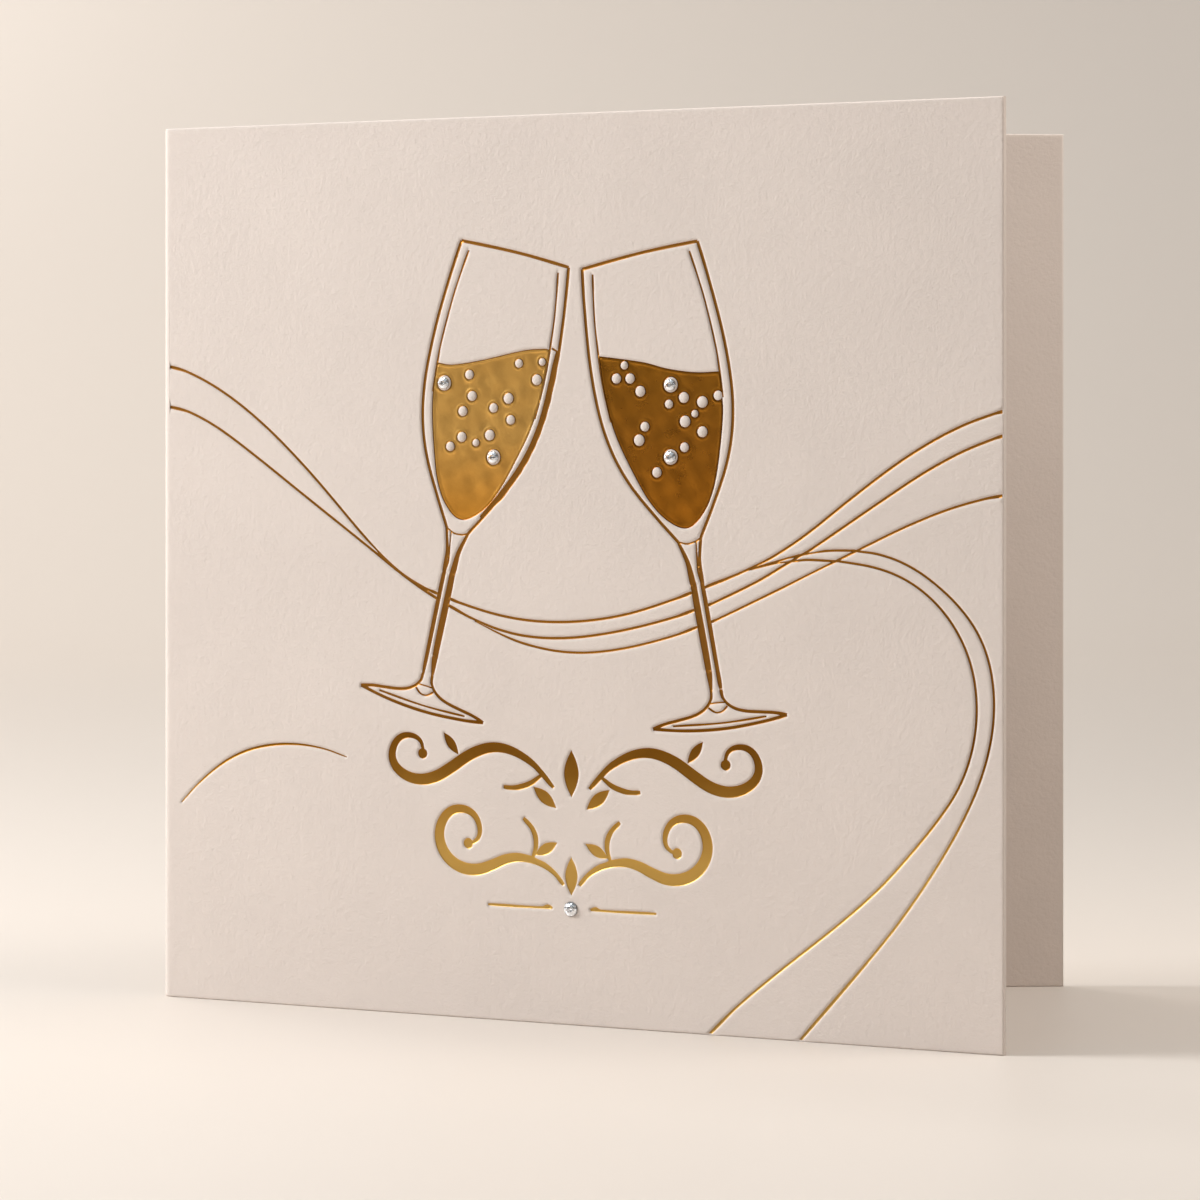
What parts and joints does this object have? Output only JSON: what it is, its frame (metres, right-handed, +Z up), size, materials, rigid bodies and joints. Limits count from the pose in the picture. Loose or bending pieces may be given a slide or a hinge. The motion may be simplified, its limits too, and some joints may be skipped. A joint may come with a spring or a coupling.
{
  "type": "greeting card",
  "caption": "Folded greeting card standing open in a V, its front pressed with gold-foil flutes, flowing lines and scrolls and set with small flat-backed crystals.",
  "frame": {"origin": "centre of the bounding box on the surface the card stands on", "axes": "+Z up; the front panel is parallel to X and faces -Y, with the fold at -X; the back panel runs back from the fold towards +Y"},
  "size_m": [0.15, 0.0834, 0.143],
  "materials": {
    "card_stock": "uncoated, fine tooth",
    "gold_foil": "hot-stamped, polished",
    "crystal": "cut and polished"
  },
  "bodies": {
    "root": {"card_sheet": "card_stock", "foil_left_glass": "gold_foil", "foil_left_wine": "gold_foil", "foil_right_glass": "gold_foil", "foil_right_wine": "gold_foil", "foil_ribbons": "gold_foil", "foil_flourish": "gold_foil", "foil_divider": "gold_foil", "crystal_left_upper": "crystal", "crystal_left_lower": "crystal", "crystal_right_upper": "crystal", "crystal_right_lower": "crystal", "crystal_divider": "crystal"}
  },
  "joints": []
}
